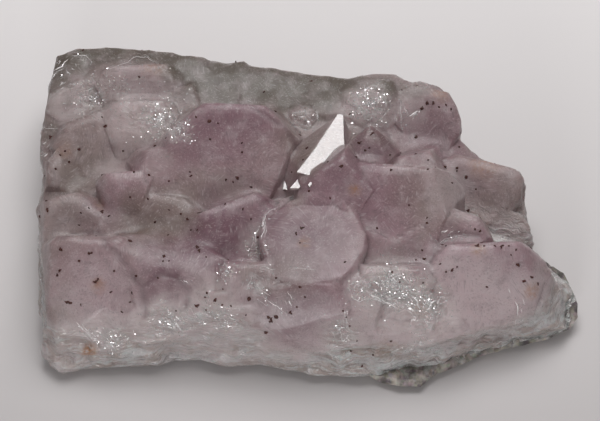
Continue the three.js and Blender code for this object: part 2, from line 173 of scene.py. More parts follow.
def pixelRay(u, v):
    # the way from the camera through one pixel of the photo
    ray = Vector((u - photoView["width"] / 2, photoView["height"] / 2 - v, -focal))
    return (camera.rotation_euler.to_quaternion() @ ray).normalized()


def surfaceTree(piece):
    faces = [tuple(face.vertices) for face in piece.data.polygons]
    return BVHTree.FromPolygons([vertex.co.copy() for vertex in piece.data.vertices], faces)


def spotAt(tree, u, v):
    # where a spot of the photo lies on the cluster, and which way the surface faces there
    place, normal, face, reach = tree.ray_cast(camera.location, pixelRay(u, v))
    return place, normal


def copyNode(node, name, settings, **more):
    # a CAD node's mesh as a piece of its own, made anew on a grid that is fine enough to dress
    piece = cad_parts[node].copy()
    piece.data = piece.data.copy()
    piece.name = piece.data.name = name
    for key in list(piece.keys()):
        del piece[key]
    scene.collection.objects.link(piece)
    piece.parent = None
    piece.data.materials.clear()
    selectOnly(piece)
    bpy.ops.object.mode_set(mode="EDIT")
    bpy.ops.mesh.select_all(action="SELECT")
    bpy.ops.mesh.remove_doubles(threshold=0.001 * mm)
    bpy.ops.object.mode_set(mode="OBJECT")
    depth, fill = settings["gridDepth"], settings["gridFill"]
    applyModifier(piece, "REMESH", mode="SHARP", octree_depth=depth, scale=fill, sharpness=1.0, **more)
    return piece


def pointsOf(mesh):
    flat = numpy.empty(len(mesh.vertices) * 3)
    mesh.vertices.foreach_get("co", flat)
    return flat.reshape(-1, 3)


def normalsOf(mesh):
    flat = numpy.empty(len(mesh.vertices) * 3)
    mesh.vertex_normals.foreach_get("vector", flat)
    return flat.reshape(-1, 3)


def setPoints(mesh, points):
    mesh.vertices.foreach_set("co", points.ravel())
    mesh.update()


# Places on the quartz, each as pixel across, pixel down, reach in millimetres and strength.
quartzZones = {
    "mauve": [  # iron colour, strongest towards the tips
        (235, 110, 8, 0.8), (200, 135, 7, 0.7), (265, 160, 8, 0.4), (225, 232, 9, 0.95), (205, 252, 6, 0.7),
        (268, 203, 4, 0.9), (345, 172, 7, 0.7), (325, 192, 5, 0.8), (405, 165, 8, 0.6), (430, 130, 8, 0.6),
        (385, 215, 8, 0.7), (300, 225, 7, 0.4), (465, 245, 8, 0.75), (512, 262, 7, 0.7), (480, 305, 10, 0.5),
        (545, 300, 5, 0.4), (320, 300, 8, 0.55), (262, 312, 6, 0.5), (112, 195, 6, 0.5), (115, 270, 9, 0.4),
        (168, 292, 5, 0.5), (150, 178, 8, 0.55), (442, 275, 7, 0.7), (345, 250, 8, 0.5), (150, 80, 7, 0.25),
        (395, 330, 6, 0.45), (105, 305, 7, 0.4), (165, 262, 6, 0.6), (470, 175, 6, 0.3),
        (298, 318, 10, 0.6), (492, 290, 11, 0.6), (308, 236, 9, 0.6), (400, 300, 9, 0.4), (80, 270, 8, 0.3),
    ],
    "deep": [  # the clearest and darkest amethyst
        (225, 228, 8, 0.9), (206, 250, 6, 0.8), (372, 138, 5.5, 1), (238, 110, 8, 0.6), (172, 292, 6.5, 0.7),
        (268, 203, 4, 0.7), (342, 180, 6, 0.4), (425, 140, 6, 0.4), (300, 182, 3, 0.6), (165, 250, 5, 0.5),
        (308, 240, 9, 0.85), (290, 310, 9, 0.85), (172, 296, 6, 0.7),
        (420, 262, 6, 0.3), (262, 285, 4, 0.4), (380, 205, 6, 0.3), (350, 162, 5, 0.4), (500, 270, 6, 0.3),
        (195, 140, 5.5, 0.45), (290, 325, 8, 0.6), (172, 296, 5, 0.4), (310, 250, 6, 0.4),
    ],
    "oliveAndShade": [  # painted shade in the deeper hollows, with the dark rock showing through in places
        (82, 177, 6, 0.9), (165, 215, 7, 0.8), (145, 230, 5, 0.9), (182, 205, 5, 0.6), (425, 187, 7, 0.5),
        (290, 275, 5, 0.6), (312, 152, 4, 0.6), (296, 140, 4, 0.6), (132, 205, 3, 0.8), (440, 215, 6, 0.3),
        (305, 165, 3, 0.7), (378, 130, 3, 0.5),
    ],
    "milky": [  # clouded and bruised quartz
        (135, 118, 6, 0.9), (115, 168, 4, 0.6), (68, 104, 4, 0.7), (205, 325, 9, 0.8), (165, 328, 7, 0.8),
        (105, 338, 4, 0.7), (55, 357, 7, 0.5), (385, 292, 7, 0.7), (420, 315, 7, 0.6), (360, 100, 5, 0.9),
        (412, 113, 3, 0.6), (257, 243, 4, 0.6), (335, 245, 5, 0.2), (230, 350, 9, 0.5), (440, 335, 6, 0.4),
        (160, 165, 3, 0.3), (90, 335, 4, 0.6), (300, 258, 5, 0.25),
    ],
    "crumbled": [  # sugary fracture, bright with small flakes
        (92, 97, 4, 0.8), (160, 118, 5, 1), (304, 118, 2.6, 0.9), (370, 104, 4.5, 1), (227, 271, 2, 1),
        (256, 248, 2.4, 0.8), (362, 290, 3, 0.7), (392, 280, 4, 1), (430, 302, 3.5, 1), (168, 322, 3.5, 0.8),
        (215, 318, 3, 0.8), (112, 343, 2.6, 0.8), (340, 328, 2.5, 0.6), (420, 343, 2.5, 0.5),
        (418, 80, 3, 0.5), (178, 128, 3, 0.8), (405, 295, 4, 0.9), (122, 90, 3, 0.4),
    ],
    "rust": [  # iron stain
        (89, 352, 1.5, 1), (484, 163, 3, 0.4), (534, 290, 1.5, 0.5), (354, 190, 1.2, 0.8),
        (304, 237, 1.3, 0.5), (98, 285, 1.4, 0.5), (153, 64, 2.5, 0.3), (64, 151, 2, 0.3),
        (478, 248, 1.5, 0.5), (420, 308, 2, 0.3), (100, 208, 2, 0.3), (440, 92, 1.8, 0.4),
        (388, 350, 2.5, 0.3),
    ],
    "rim": [  # the worn grey-green rim behind the crystals
        (58, 62, 5, 1), (85, 52, 5, 1), (115, 50, 4, 1), (150, 50, 4, 1), (180, 62, 5, 1), (205, 78, 6, 1),
        (235, 76, 6, 1), (265, 84, 6, 1), (295, 90, 6, 1), (322, 92, 5, 1), (350, 80, 4, 1), (385, 80, 4, 1),
        (55, 90, 4, 0.8), (46, 130, 3, 0.6), (415, 85, 3, 0.5), (340, 88, 4, 1), (255, 70, 5, 1),
        (215, 62, 5, 1),
    ],
    "paintedGlow": [  # painted glow: thin quartz near the front, paler where light comes through it
        (480, 310, 12, 0.9), (530, 305, 8, 0.9), (400, 315, 9, 0.8), (440, 335, 8, 0.8), (300, 320, 8, 0.25),
        (100, 300, 9, 0.5), (60, 358, 7, 0.8), (90, 362, 6, 0.8), (205, 330, 9, 0.7),
        (150, 350, 6, 0.6), (200, 352, 8, 0.7), (250, 358, 8, 0.6), (320, 362, 8, 0.6), (375, 350, 8, 0.7),
        (350, 330, 7, 0.6), (455, 285, 8, 0.5), (262, 305, 6, 0.3), (456, 190, 7, 0.6), (140, 80, 6, 0.35),
        (360, 100, 5, 0.5),
    ],
    "shattered": [  # faces that broke away, in shell-like steps
        (163, 332, 5, 0.9), (205, 331, 6, 1), (240, 336, 5.5, 0.8), (110, 343, 4.5, 0.8),
        (385, 292, 5.5, 0.7), (425, 308, 6, 0.8), (360, 100, 4.5, 0.6), (135, 112, 5, 0.4), (92, 92, 4, 0.5),
        (340, 338, 4, 0.6), (262, 282, 3.5, 0.5), (70, 345, 4, 0.5),
    ],
    "healed": [  # crystals that grew into each other, with hardly a step between them
        (150, 243, 5, 1), (185, 243, 5, 1), (165, 258, 6, 1), (140, 262, 4, 0.8), (190, 264, 5, 0.8),
        (115, 205, 4, 0.6), (95, 235, 4, 0.6), (240, 275, 4, 0.6), (250, 268, 3, 0.8), (170, 274, 4, 0.8),
        (159, 144, 3, 1),
    ],
    "grown": [  # crystal faces that reach down into the broken front
        (165, 262, 9, 1), (170, 292, 5.5, 1), (200, 285, 5, 1), (298, 316, 9, 1), (272, 332, 5, 0.8),
        (320, 330, 6, 0.8), (110, 285, 8, 0.8), (235, 282, 7, 0.9), (350, 320, 4, 0.6),
    ],
    "mirror": [  # the one face that the window catches stays flat
        (326, 143, 6.5, 1),
    ],
}

# Patches that are brought towards one even surface through their own border. The outline runs clockwise in
# pixels, and the border and the blend are pixels inside it. The press is the share of the swell that goes,
# and the start is how much of it goes at the outline itself.
wornPatches = [
    {  # the round crystal in the middle, which is worn nearly flat
        "outline": [
            (260, 232), (267, 212), (285, 202), (305, 197), (335, 199), (354, 213), (368, 237), (366, 252),
            (355, 270), (342, 282), (272, 281),
        ],
        "above": 14 * mm, "border": 8, "blend": 5, "start": 0.5, "press": 0.85, "curved": False,
    },
    {  # crystals that grew into each other
        "outline": [
            (120, 252), (140, 229), (170, 225), (205, 237), (220, 262), (212, 300), (190, 309), (142, 309),
            (126, 290),
        ],
        "above": 8 * mm, "border": 12, "blend": 9, "start": 0, "press": 0.95, "curved": True,
    },
]

# Dark joints between crystals, each as a row of pixels.
quartzSeams = [
    [(62, 237), (80, 233), (97, 232), (104, 237), (107, 246)],
    [(262, 204), (275, 198), (288, 194), (300, 189)],
    [(252, 107), (270, 118), (290, 131), (297, 148)],
    [(358, 133), (371, 122), (388, 133), (393, 148)],
    [(107, 246), (118, 254), (130, 270), (141, 286), (144, 300), (145, 316)],
    [(145, 284), (159, 273), (177, 277), (188, 290), (186, 305)],
    [(430, 262), (438, 244), (458, 234), (478, 236)],
]

amethyst = {
    "gridDepth": 8,  # the dressed surface has a point about every 0.5 mm
    "gridFill": 0.8,
    "growthRelief": 0.035 * mm,  # low swell on the grown faces
    "growthLength": 5 * mm,
    "fractureRelief": 0.9 * mm,  # shell-like breaks on the broken sides
    "fractureLength": 6 * mm,
    "streakRelief": 0.6 * mm,  # ragged level ridges on the broken sides
    "streakLength": Vector((8, 8, 2.4)) * mm,
    "rimRelief": 0.3 * mm,
    "crumbRelief": 0.16 * mm,
    "chipDepth": 0.3 * mm,  # bruises along the crystal edges
    "mostRelief": 0.45 * mm,
    "level": 0.92,  # share of the steps between crystals that is taken away
    "levelRounds": 160,
    "wearRounds": 2,  # smoothing of what isn't crystal
    "healRounds": 150,  # and of crystals that grew into each other
    "slabBack": 25 * mm,  # from the middle to the front and to the back of the slab
    "frontTop": 9.5 * mm,  # below this the slab is broken quartz, not crystal faces
    "backTop": 15.5 * mm,
    "topFade": 2 * mm,
    "frostGlowBack": 10 * mm,  # the breaks are whitest in front, white fracture with a painted glow, and lose it up to here
    "frostGlowFade": 30 * mm,
    "freshFrom": 0.45,  # share of the frost and painted glow that makes a face broken quartz
    "hardEdge": 38,  # degrees
    "footTop": 2.8 * mm,  # darker below this: stained where it met the rock, with painted contact shade
    "footFade": 1.6 * mm,
    "flatFoot": 1.2 * mm,  # no relief below this, so that it stays flat on the rock
    "seamReach": 1 * mm,
    "seamShare": 0.9,
    "seamDepth": 0.2 * mm,
    "zoneWobble": 3 * mm,
}


def zoneWeights(points, tree):
    # how much of each kind of quartz there is at every point
    weights = {}
    wobble = numpy.array([noise.noise(Vector(p) / amethyst["zoneWobble"]) for p in points])
    for kind, zones in quartzZones.items():
        clear = numpy.ones(len(points))
        for u, v, reach, strength in zones:
            place, normal = spotAt(tree, u, v)
            if place is None:
                print("no quartz at", kind, u, v)
                continue
            far = numpy.linalg.norm(points - numpy.array(place), axis=1) / (reach * mm)
            far = far * (1 + 0.35 * wobble)
            near = numpy.clip(1.35 - far, 0, 1)
            clear *= 1 - strength * near * near * (3 - 2 * near)
        weights[kind] = 1 - clear
    return weights


def rowAlong(tree, row, step=2.5, wander=0):
    # points on the surface along a row of pixels, which may stray a little from it
    places = []
    for (u0, v0), (u1, v1) in zip(row, row[1:]):
        steps = max(1, round(math.hypot(u1 - u0, v1 - v0) / step))
        for i in range(steps + 1):
            u, v = u0 + (u1 - u0) * i / steps, v0 + (v1 - v0) * i / steps
            stray = noise.noise_vector(Vector((u, v, 0)) / 9) * wander
            place, normal = spotAt(tree, u + stray.x, v + stray.y)
            if place is not None:
                places.append((place, normal))
    return places


def insideOutline(points, outline):
    # how many pixels inside a bulging outline the camera sees each point, below 0 outside it
    seen = (points - numpy.array(camera.location)) @ numpy.array(camera.rotation_euler.to_matrix())
    u = photoView["width"] / 2 - focal * seen[:, 0] / seen[:, 2]
    v = photoView["height"] / 2 + focal * seen[:, 1] / seen[:, 2]
    inside = numpy.full(len(points), math.inf)
    for (u0, v0), (u1, v1) in zip(outline, outline[1:] + outline[:1]):
        away = ((u1 - u0) * (v - v0) - (v1 - v0) * (u - u0)) / math.hypot(u1 - u0, v1 - v0)
        inside = numpy.minimum(inside, away)
    return inside


def nearness(points, places, reach):
    # 1 at the places, 0 beyond the reach
    tree = KDTree(len(places))
    for i, place in enumerate(places):
        tree.insert(place, i)
    tree.balance()
    return numpy.array([max(0, 1 - tree.find(Vector(p))[2] / reach) for p in points])


def frontness(points):
    # 1 where the slab is broken quartz all round, up to a height that rises towards the back
    slabBack, frontTop, backTop = amethyst["slabBack"], amethyst["frontTop"], amethyst["backTop"]
    backness = numpy.clip((points[:, 1] + slabBack) / (2 * slabBack), 0, 1)
    top = frontTop + (backTop - frontTop) * backness
    return numpy.clip((top - points[:, 2]) / amethyst["topFade"] + 0.4, 0, 1)


def evenPatch(points, patch):
    # brings a patch towards the plane, or the gently curved surface, that fits its border
    inside = insideOutline(points, patch["outline"])
    above = points[:, 2] > patch["above"]
    border = above & (inside > 0) & (inside < patch["border"])
    x, y = points[:, 0], points[:, 1]
    terms = [numpy.ones(len(points)), x, y] + ([x * x, x * y, y * y] if patch["curved"] else [])
    ground = numpy.column_stack(terms)
    even = numpy.linalg.lstsq(ground[border], points[border, 2], rcond=None)[0]
    share = numpy.clip(inside / patch["blend"] + patch["start"], 0, 1) * above * patch["press"]
    points[:, 2] -= share * (points[:, 2] - ground @ even)


def lowerSteps(piece, weights):
    # crystals that grow side by side end nearly level: the steps between them shrink, the edges stay sharp
    mesh = piece.data
    sharp = pointsOf(mesh)
    smooth(piece, amethyst["levelRounds"])
    rise = (pointsOf(mesh)[:, 2] - sharp[:, 2]) * amethyst["level"] * (1 - frontness(sharp))
    flat = weights["mirror"]
    rise += flat * (rise[flat > 0.8].mean() - rise)
    points = sharp.copy()
    points[:, 2] += rise
    for patch in wornPatches:
        evenPatch(points, patch)
    setPoints(mesh, points)
    return points


def bendOf(mesh):
    # how sharply the surface bends at each point, above 0 outwards and below 0 inwards
    points, normals = pointsOf(mesh), normalsOf(mesh)
    ends = numpy.empty(len(mesh.edges) * 2, dtype=numpy.int32)
    mesh.edges.foreach_get("vertices", ends)
    first, second = ends.reshape(-1, 2).T
    along = points[second] - points[first]
    along /= numpy.linalg.norm(along, axis=1)[:, None] + 1e-12
    bend = numpy.zeros(len(points))
    numpy.add.at(bend, first, -(along * normals[first]).sum(axis=1))
    numpy.add.at(bend, second, (along * normals[second]).sum(axis=1))
    return bend


def breakSides(weights, points, normals):
    # where the quartz broke, and how white, layered or stained it is there, with a painted glow in front and
    # painted contact shade at the foot
    settings = amethyst
    broken = numpy.maximum(frontness(points) * (1 - weights.pop("grown")), weights.pop("shattered"))
    # the breaks are whitest along the front and down the steep sides: white fracture, with a painted glow of
    # light coming through
    front = numpy.clip((settings["frostGlowBack"] - points[:, 1]) / settings["frostGlowFade"], 0, 1)
    steep = numpy.clip((0.5 - normals[:, 2]) / 0.4, 0, 1) * 0.7
    # the foot is darker: stain from the rock, and painted contact shade
    foot = numpy.clip((settings["footTop"] - points[:, 2]) / settings["footFade"], 0, 1)
    weights["broken"] = broken
    weights["frostAndGlow"] = broken * numpy.maximum(front, steep) * (1 - 0.6 * weights["mauve"])
    weights["layers"] = broken * numpy.maximum(front, 0.3)
    weights["foot"] = broken * foot


def reliefAt(points, weights):
    # how far each point stands out
    settings = amethyst
    rows = []
    for p in map(Vector, points):
        q = p / settings["fractureLength"]
        shell = noise.voronoi(q + noise.noise_vector(q * 1.7) * 0.3)[0]
        r = Vector(a / b for a, b in zip(p, settings["streakLength"]))
        r += noise.noise_vector(p / (6 * mm)) * 0.5
        growth = noise.noise(p / settings["growthLength"])
        fracture = 0.8 * (shell[1] - shell[0]) - 0.5
        fracture += 0.4 * noise.noise(q * 2.3) + 0.16 * noise.noise(q * 6.1)
        streak = 0.4 - 1.6 * abs(noise.noise(r)) - 0.5 * abs(noise.noise(r * 2.7))
        swell = noise.noise(p / (4 * mm)) + 0.35 * noise.noise(p / (1.4 * mm))
        crumb = noise.cell(p / (0.9 * mm)) * 0.7 + 0.6 * noise.noise(p / (1.3 * mm))
        chip = max(0, noise.noise(p / (2.1 * mm)) + 0.5 * noise.noise(p / (0.9 * mm)))
        rows.append((growth, fracture, streak, swell, crumb, chip))
    growth, fracture, streak, swell, crumb, chip = numpy.array(rows).T
    relief = growth * settings["growthRelief"]
    relief += fracture * settings["fractureRelief"] * weights["broken"]
    relief += streak * settings["streakRelief"] * weights["broken"]
    relief += swell * settings["rimRelief"] * weights["rim"]
    relief += crumb * settings["crumbRelief"] * weights["crumbled"]
    relief -= weights["seam"] * settings["seamDepth"]
    relief -= chip * weights["edge"] * settings["chipDepth"]
    return relief * (1 - weights["mirror"])


def makeAmethyst():
    settings = amethyst
    piece = copyNode("amethyst_crystals", "amethyst", settings, use_remove_disconnected=True)
    smooth(piece, 1)
    mesh = piece.data
    weights = zoneWeights(pointsOf(mesh), surfaceTree(piece))
    # the crystal edges are paler, partly worn and partly a painted highlight, and the joints between them
    # darker
    bend = bendOf(mesh)
    healed = weights.pop("healed")
    weights["edge"] = numpy.clip(bend * 0.9 - 0.35, 0, 1) * (1 - healed)
    weights["joint"] = numpy.clip(-bend * 0.9 - 0.2, 0, 1) * (1 - 0.8 * healed)
    points = lowerSteps(piece, weights)
    tree = surfaceTree(piece)
    seams = [place for row in quartzSeams for place, normal in rowAlong(tree, row)]
    weights["seam"] = nearness(points, seams, settings["seamReach"]) * settings["seamShare"]
    breakSides(weights, points, normalsOf(mesh))
    free = numpy.clip((points[:, 2] - settings["flatFoot"]) / settings["flatFoot"], 0, 1)
    smooth(piece, settings["wearRounds"], numpy.maximum(weights["broken"], weights["rim"]))
    smooth(piece, settings["healRounds"], healed)
    points = pointsOf(mesh)
    relief = numpy.minimum(reliefAt(points, weights) * free, settings["mostRelief"])
    setPoints(mesh, points + normalsOf(mesh) * relief[:, None])
    weights.pop("mirror")
    for name, values in weights.items():
        layer = mesh.attributes.new(name, "FLOAT", "POINT")
        layer.data.foreach_set("value", numpy.asarray(values, dtype=numpy.float32))
    mesh.materials.append(amethystMaterial("amethyst quartz", gloss=0.12, roughness=0.5, glow=2))
    mesh.materials.append(amethystMaterial("broken quartz", gloss=1.0, roughness=0.4, glow=1.6))
    fresh = weights["frostAndGlow"] > settings["freshFrom"]
    for face in mesh.polygons:
        face.material_index = int(fresh[face.vertices[0]])
    shadeSmooth(piece, settings["hardEdge"])
    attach(piece, "root")
    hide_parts("amethyst_crystals")
    return piece


def amethystMaterial(name, gloss, roughness, glow):
    # Clouded quartz: a glassy skin over a hazy, see-through body, mauve at the tips and grey-green below.
    # Breaks and the one fresh facet have all of their gloss, and growth marks dull the other faces.
    # glow is how far light spreads inside, in millimetres.
    material, tree = newMaterial(name)
    place = addNode(tree, "TexCoord").outputs["Object"]

    def weight(kind):
        return addNode(tree, "Attribute", {"attribute_name": kind}).outputs["Fac"]

    def times(product, *others):
        for other in others:
            node = addNode(tree, "Math", {"operation": "MULTIPLY"}, links={0: product})
            if isinstance(other, float):
                node.inputs[1].default_value = other
            else:
                tree.links.new(other, node.inputs[1])
            product = node.outputs[0]
        return product

    def reshaped(operation, vector, size, more=None):
        # a vector worked on with this length, width and height
        settings, links = {"operation": operation}, {0: vector, **(more or {})}
        return addNode(tree, "VectorMath", settings, {1: size}, links).outputs[0]

    drift = addNode(tree, "TexNoise", inputs={"Scale": 1 / (5 * mm), "Detail": 2}, links={"Vector": place})
    bent = reshaped("MULTIPLY_ADD", drift.outputs["Color"], (4 * mm, 4 * mm, 4 * mm), {2: place})

    def stretched(size, low=0.52, high=0.72):
        # wavy streaks of this length, width and height in millimetres
        squeezed = reshaped("DIVIDE", bent, tuple(s * mm for s in size))
        return ranged(tree, noiseAt(tree, squeezed, 1, 3, 0.6), low, high)

    def cloud(size, detail=3, rough=0.55, low=0.35, high=0.65):
        # soft cloudiness with lumps of this size in millimetres
        return ranged(tree, noiseAt(tree, place, 1 / (size * mm), detail, rough), low, high)

    # short healed fractures, which lie the same way within each small domain
    domains = addNode(tree, "TexVoronoi", inputs={"Scale": 1 / (2.8 * mm)}, links={"Vector": bent})
    turn = reshaped("MULTIPLY", domains.outputs["Color"], (6.3, 6.3, 6.3))
    turned = addNode(tree, "VectorRotate", {"rotation_type": "EULER_XYZ"},
                     links={"Vector": place, "Rotation": turn})
    veins = noiseAt(tree, reshaped("DIVIDE", turned.outputs[0], (1.9 * mm, 0.25 * mm, 0.25 * mm)), 1)

    colour = mixed(tree, "#c8b4b2", "#b7a29f", cloud(7))  # grey-green massive quartz
    layers = [
        (mixed(tree, "#c094a2", "#ceaab4", cloud(6)), weight("mauve")),
        ("#926b77", times(weight("deep"), 0.85)),
        # painted shade in the hollows, partly dark rock showing through
        ("#99847a", times(weight("oliveAndShade"), 0.8)),
        # painted glow where light comes through thin quartz
        ("#f3e4e5", times(weight("paintedGlow"), 0.8)),
        # the broken sides: pale and dark streaks that run level, with thin dark partings, and a darker foot
        # of rock stain and painted contact shade
        # whiter on the front and steep sides: white fracture with a painted glow
        ("#dccdc5", times(weight("frostAndGlow"), 0.95)),
        ("#fffafa", times(stretched((7, 7, 2.2), 0.47, 0.57), weight("frostAndGlow"))),
        ("#ffffff", times(stretched((2.5, 2.5, 0.5), 0.5, 0.58), weight("frostAndGlow"))),
        ("#93807a", times(stretched((9, 9, 1.3)), weight("layers"), 0.45)),
        ("#705c58", times(stretched((7, 7, 0.4), 0.58, 0.64), weight("layers"), 0.5)),
        # darker foot: rock stain and painted contact shade
        ("#6f675a", times(cloud(1.6, 4, 0.65, 0.35, 0.6), weight("foot"), 0.6)),
        ("#84796d", weight("rim")),
        # what floats in the quartz: haze in patches, healed fractures, and dust too fine to see as grains
        ("#ecdee0", times(cloud(3, 5, 0.65, 0.48, 0.7), 0.45)),
        ("#7b6468", times(cloud(2, 6, 0.7, 0.5, 0.72), 0.36)),
        ("#f7f0f0", times(ranged(tree, veins, 0.58, 0.68), 0.4)),
        ("#6d585c", times(ranged(tree, veins, 0.42, 0.32), 0.35)),
        ("#5f4a4b", times(cloud(0.35, 2, 0.5, 0.62, 0.75), 0.3)),
        # wear and stains, and a painted highlight along the crystal edges
        ("#f3e3e3", times(weight("milky"), cloud(2.5, 5, 0.65, 0.2, 0.6))),
        ("#f8ebeb", times(weight("crumbled"), cloud(0.8, 4, 0.7, 0.42, 0.6))),
        ("#eee6e6", times(weight("edge"), cloud(1.5, 4, 0.7, 0.5, 0.6), 0.6)),
        ("#75595f", times(weight("joint"), cloud(2.7, 4, 0.6, 0.45, 0.6), 0.45)),
        ("#82646b", times(weight("seam"), cloud(2.7, 4, 0.6, 0.2, 0.5), 0.6)),
        ("#c48a5c", times(weight("rust"), cloud(0.7, 4, 0.6, 0.3, 0.6))),
    ]
    for layer, amount in layers:
        colour = mixed(tree, colour, layer, amount)
    grain = noiseAt(tree, place, 1 / (0.45 * mm), 4, 0.7)
    fine = addNode(tree, "Bump", inputs={"Distance": 0.12 * mm},
                   links={"Height": grain, "Strength": times(weight("broken"), 0.8)})
    ripples = addNode(tree, "Bump", inputs={"Distance": 0.4 * mm}, links={
        "Height": stretched((5, 5, 0.5), 0.3, 0.7), "Strength": weight("broken"), "Normal": fine.outputs[0],
    }).outputs[0]
    inside = addNode(tree, "VolumeAbsorption", inputs={"Color": linearColour("#d8c6d0"), "Density": 25})
    finishMaterial(tree, {
        "IOR": quartzIor, "Transmission Weight": 0.5,
        "Subsurface Weight": 1.0, "Subsurface Radius": (1.0, 0.85, 0.9), "Subsurface Scale": glow * mm,
        "Coat Weight": gloss, "Coat Roughness": 0.06, "Coat IOR": quartzIor,
    }, {
        "Base Color": colour, "Roughness": ranged(tree, grain, 0, 1, roughness - 0.1, roughness + 0.1),
        "Normal": ripples, "Coat Normal": ripples,
    }, inside.outputs[0])
    return material


amethystPiece = makeAmethyst()
amethystTree = surfaceTree(amethystPiece)
print("amethyst dressed,", len(amethystPiece.data.vertices), "points")

# Iron oxide specks, in pixels of the photo: across, down.
speckSpots = {
    "small": [
        (83, 50), (139, 77), (102, 117), (65, 151), (60, 155), (69, 162), (56, 169), (45, 176), (102, 175),
        (134, 172), (149, 175), (169, 181), (123, 151), (166, 138), (196, 117), (218, 123), (210, 139),
        (190, 172), (191, 176), (130, 197), (148, 199), (46, 201), (81, 213), (89, 208), (169, 210),
        (181, 214), (79, 225), (155, 222), (168, 235), (191, 230), (197, 230), (57, 275), (79, 261),
        (98, 279), (114, 271), (136, 276), (132, 293), (111, 292), (81, 305), (122, 312), (130, 302),
        (163, 261), (169, 261), (206, 257), (158, 278), (207, 293), (205, 297), (176, 311), (206, 310),
        (222, 305),
        (231, 306), (223, 289), (246, 315), (270, 322), (276, 278), (297, 307), (305, 297), (300, 287),
        (258, 237), (251, 219), (243, 209), (225, 204), (300, 135), (303, 160), (292, 172), (226, 180),
        (233, 182), (251, 187), (242, 143), (242, 152), (264, 92), (311, 81), (328, 162), (356, 157),
        (369, 148), (365, 150), (390, 155), (391, 170), (350, 114), (330, 198), (309, 191), (346, 317),
        (345, 262), (343, 311), (350, 326), (357, 341), (391, 341), (351, 351), (373, 355), (362, 366),
        (392, 272), (400, 282), (377, 228), (402, 90), (439, 107), (446, 105), (451, 109), (461, 133),
        (459, 147), (428, 160), (428, 169), (457, 168), (457, 171), (452, 183), (476, 189),
        (409, 205), (427, 218), (427, 223), (475, 229), (480, 231), (484, 246), (442, 245), (446, 246),
        (495, 246), (509, 246), (516, 250), (511, 255), (416, 260), (440, 264), (457, 267), (446, 272),
        (423, 283), (487, 287), (538, 284), (109, 216), (416, 154), (422, 250), (300, 243),
    ],
    "large": [
        (105, 126), (50, 137), (79, 149), (155, 146), (209, 121), (130, 241), (164, 256), (197, 247),
        (307, 148), (237, 178), (341, 166), (422, 108), (427, 103), (433, 103), (416, 137), (445, 167),
        (466, 177), (468, 210), (518, 265), (524, 281), (268, 317), (266, 332), (249, 299), (215, 300),
        (452, 270), (424, 259), (276, 317), (70, 303),
    ],
    "forked": [
        (95, 282), (102, 211), (47, 209), (60, 249), (187, 219), (199, 250), (89, 253), (66, 302), (271, 319),
        (290, 312), (301, 228), (296, 233), (359, 143), (373, 133), (477, 246), (481, 243), (502, 246),
        (531, 277), (60, 270), (196, 306),
    ],
}

ironSpecks = {
    "small": (0.2 * mm, 0.36 * mm),  # half length, from and to
    "large": (0.36 * mm, 0.5 * mm),
    "forked": (0.3 * mm, 0.5 * mm),
    "thickness": 0.19 * mm,
    "elsewhere": 100,  # more of them on the sides that the photo doesn't show
    "lowest": 3 * mm,  # where those begin, above the table
    "hidden": 0.6 * mm,  # how far in front of a spot the camera's view has to end
    "seed": 11,
}


def joinRings(build, rings):
    # the side faces between rings of corners
    faces = []
    for low, high in zip(rings, rings[1:]):
        for k in range(len(low)):
            after = (k + 1) % len(low)
            faces.append(build.faces.new((low[k], low[after], high[after], high[k])))
    return faces


def addSpindle(build, middle, along, out, halfLength, thick, chance):
    # a lumpy grain, thickest a little off its middle
    across = along.cross(out).normalized()
    rings = []
    skew = chance.uniform(-0.25, 0.25)
    for t in (-0.62, -0.1, 0.5):
        radius = thick * (1 - abs(t + skew) ** 2) * chance.uniform(0.75, 1.2)
        centre = middle + along * (halfLength * t) + across * (halfLength * chance.uniform(-0.12, 0.12))
        ring = []
        for k in range(6):
            angle = k * math.pi / 3
            lump = radius * chance.uniform(0.7, 1.25)
            reach = across * (math.cos(angle) * lump) + out * (math.sin(angle) * lump * 0.7)
            ring.append(build.verts.new(centre + reach))
        rings.append(ring)
    start = build.verts.new(middle - along * halfLength)
    end = build.verts.new(middle + along * halfLength)
    joinRings(build, rings)
    for k in range(6):
        build.faces.new((rings[0][(k + 1) % 6], rings[0][k], start))
        build.faces.new((rings[-1][k], rings[-1][(k + 1) % 6], end))


def addSpeck(build, kind, place, normal, chance):
    settings = ironSpecks
    low, high = settings[kind]
    turn = chance.uniform(0, math.pi)
    side = normal.cross(Vector((0.3, 1, 0.2))).normalized()
    for arm in range(1 if kind == "small" else 2):
        length = chance.uniform(low, high)
        along = Quaternion(normal, turn) @ side
        centre = place + normal * (0.02 * mm)
        if kind == "forked" and arm:
            centre = centre + along * (length * 0.8)
        if kind == "large" and arm:
            centre = centre + along * (length * 0.3)
            length *= 0.7
        thick = settings["thickness"] * chance.uniform(0.8, 1.3) * (1.35 if kind == "large" else 1)
        addSpindle(build, centre, along, normal, length, thick, chance)
        turn += chance.uniform(0.7, 1.5)


def finishPiece(build, name, material):
    bmesh.ops.recalc_face_normals(build, faces=build.faces)
    mesh = bpy.data.meshes.new(name)
    build.to_mesh(mesh)
    build.free()
    piece = bpy.data.objects.new(name, mesh)
    scene.collection.objects.link(piece)
    mesh.materials.append(material)
    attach(piece, "root")
    return piece


def ironMaterial():
    # Goethite and hematite: dull, nearly black red-brown grains.
    material, tree = newMaterial("iron oxide")
    place = addNode(tree, "TexCoord").outputs["Object"]
    colour = mixed(tree, "#2a1214", "#5e3026", noiseAt(tree, place, 1 / (0.4 * mm)))
    finishMaterial(tree, {"Roughness": 0.55}, {"Base Color": colour})
    return material


